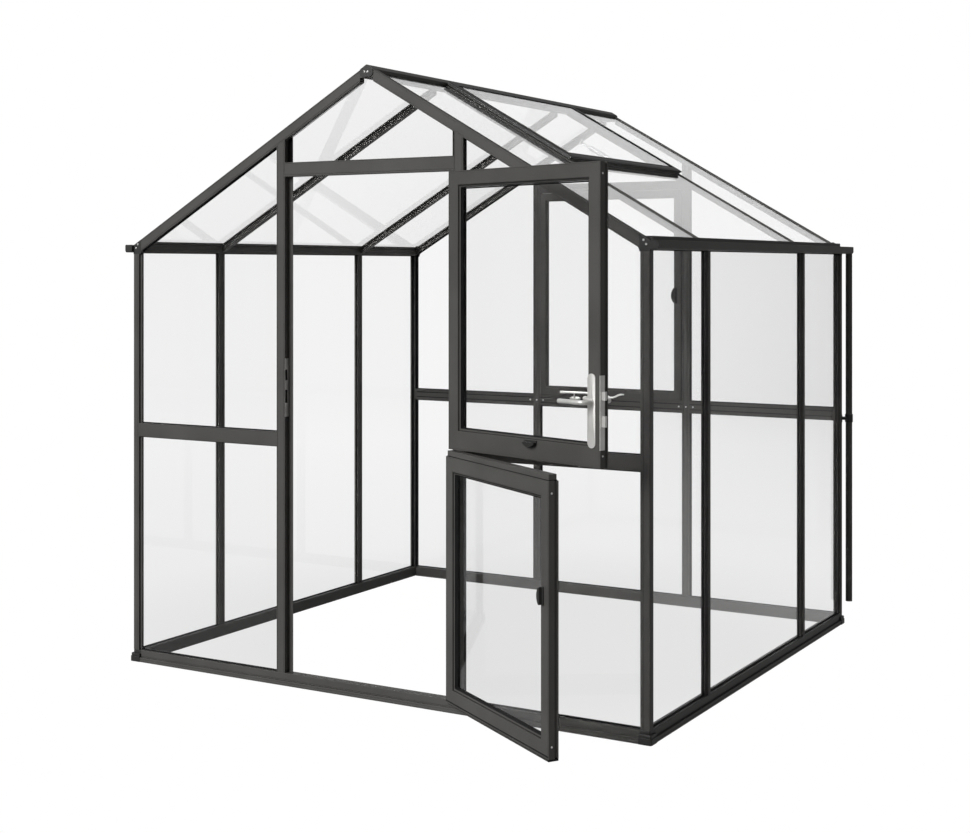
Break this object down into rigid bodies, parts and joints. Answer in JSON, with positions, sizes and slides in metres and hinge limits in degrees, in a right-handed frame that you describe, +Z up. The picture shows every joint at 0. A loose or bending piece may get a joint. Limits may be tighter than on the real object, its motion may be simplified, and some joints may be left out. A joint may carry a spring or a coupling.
{
  "type": "glass greenhouse",
  "caption": "Gable-roofed glass greenhouse with a dark aluminium frame, roof vent, gutters, rear window and an outward-opening stable door.",
  "frame": {"origin": "middle of the front sill's underside, on the outer plane of the front wall, at ground level", "axes": "+X to the right as seen from in front, +Y from the front wall to the rear wall, +Z up"},
  "size_m": [2.416, 2.6877, 2.4045],
  "materials": {
    "frame_powder_coat": "fine matt powder coat, anthracite, on extruded aluminium",
    "black_castings": "satin black moulded nylon",
    "clear_glass": "clear toughened float glass",
    "satin_stainless": "satin stainless steel",
    "opener_aluminium": "mill-finish aluminium"
  },
  "bodies": {
    "house": {"front_sill": "frame_powder_coat", "rear_sill": "frame_powder_coat", "side_sills": "frame_powder_coat", "corner_posts": "frame_powder_coat", "side_wall_posts": "frame_powder_coat", "door_posts": "frame_powder_coat", "rear_posts": "frame_powder_coat", "door_header": "frame_powder_coat", "rear_header": "frame_powder_coat", "front_mid_rails": "frame_powder_coat", "rear_mid_rails": "frame_powder_coat", "eave_beams": "frame_powder_coat", "gable_rafters": "frame_powder_coat", "middle_rafters": "frame_powder_coat", "ridge_beam": "frame_powder_coat", "gutters": "frame_powder_coat", "downpipes": "frame_powder_coat", "vent_stiles": "frame_powder_coat", "vent_rails": "frame_powder_coat", "vent_trimmer": "frame_powder_coat", "window_stiles": "frame_powder_coat", "window_rails": "frame_powder_coat", "post_hinges": "frame_powder_coat", "base_corners": "black_castings", "eave_brackets": "black_castings", "ridge_plates": "black_castings", "gutter_ends": "black_castings", "pipe_clamps": "black_castings", "window_catch": "black_castings", "front_wall_glass": "clear_glass", "rear_wall_glass": "clear_glass", "side_wall_glass": "clear_glass", "gable_glass": "clear_glass", "left_roof_glass": "clear_glass", "right_roof_glass": "clear_glass", "vent_glass": "clear_glass", "window_glass": "clear_glass", "window_stay": "satin_stainless", "strike_plate": "satin_stainless", "vent_opener": "opener_aluminium"},
    "upper_door": {"upper_door_stiles": "frame_powder_coat", "upper_door_rails": "frame_powder_coat", "upper_door_glass": "clear_glass", "upper_door_hinges": "frame_powder_coat", "upper_door_catch": "black_castings", "lock_case": "satin_stainless", "lever_plates": "satin_stainless"},
    "lower_door": {"lower_door_stiles": "frame_powder_coat", "lower_door_rails": "frame_powder_coat", "lower_door_glass": "clear_glass", "lower_door_hinges": "frame_powder_coat", "lower_door_catch": "black_castings", "weather_bar": "black_castings"},
    "lever_set": {"door_levers": "satin_stainless"},
    "latch_bolt": {"latch": "satin_stainless"},
    "dead_bolt": {"lock_bolt": "satin_stainless"}
  },
  "joints": [
    {"name": "upper_door_hinge", "type": "hinge", "parent": "house", "child": "upper_door", "pos_m": [0.398, -0.02, 0], "axis": [0, 0, 1], "range_deg": [-162, 10]},
    {"name": "lower_door_hinge", "type": "hinge", "parent": "house", "child": "lower_door", "pos_m": [0.398, -0.02, 0], "axis": [0, 0, 1], "range_deg": [-147, 25]},
    {"name": "lever_turn", "type": "hinge", "parent": "upper_door", "child": "lever_set", "pos_m": [1.09624, -0.26895, 1.192], "axis": [-0.309, -0.9511, 0], "range_deg": [0, 40], "stiffness_Nm_per_rad": 2.5, "springref_deg": -20.05},
    {"name": "latch_slide", "type": "slide", "parent": "upper_door", "child": "latch_bolt", "axis": [-0.9511, 0.309, 0], "range_m": [0, 0.0146]},
    {"name": "bolt_slide", "type": "slide", "parent": "upper_door", "child": "dead_bolt", "axis": [-0.9511, 0.309, 0], "range_m": [0, 0.016]}
  ],
  "couplings": [
    {"joint": "latch_slide", "follows": "lever_turn", "m_per_rad": 0.0208}
  ]
}
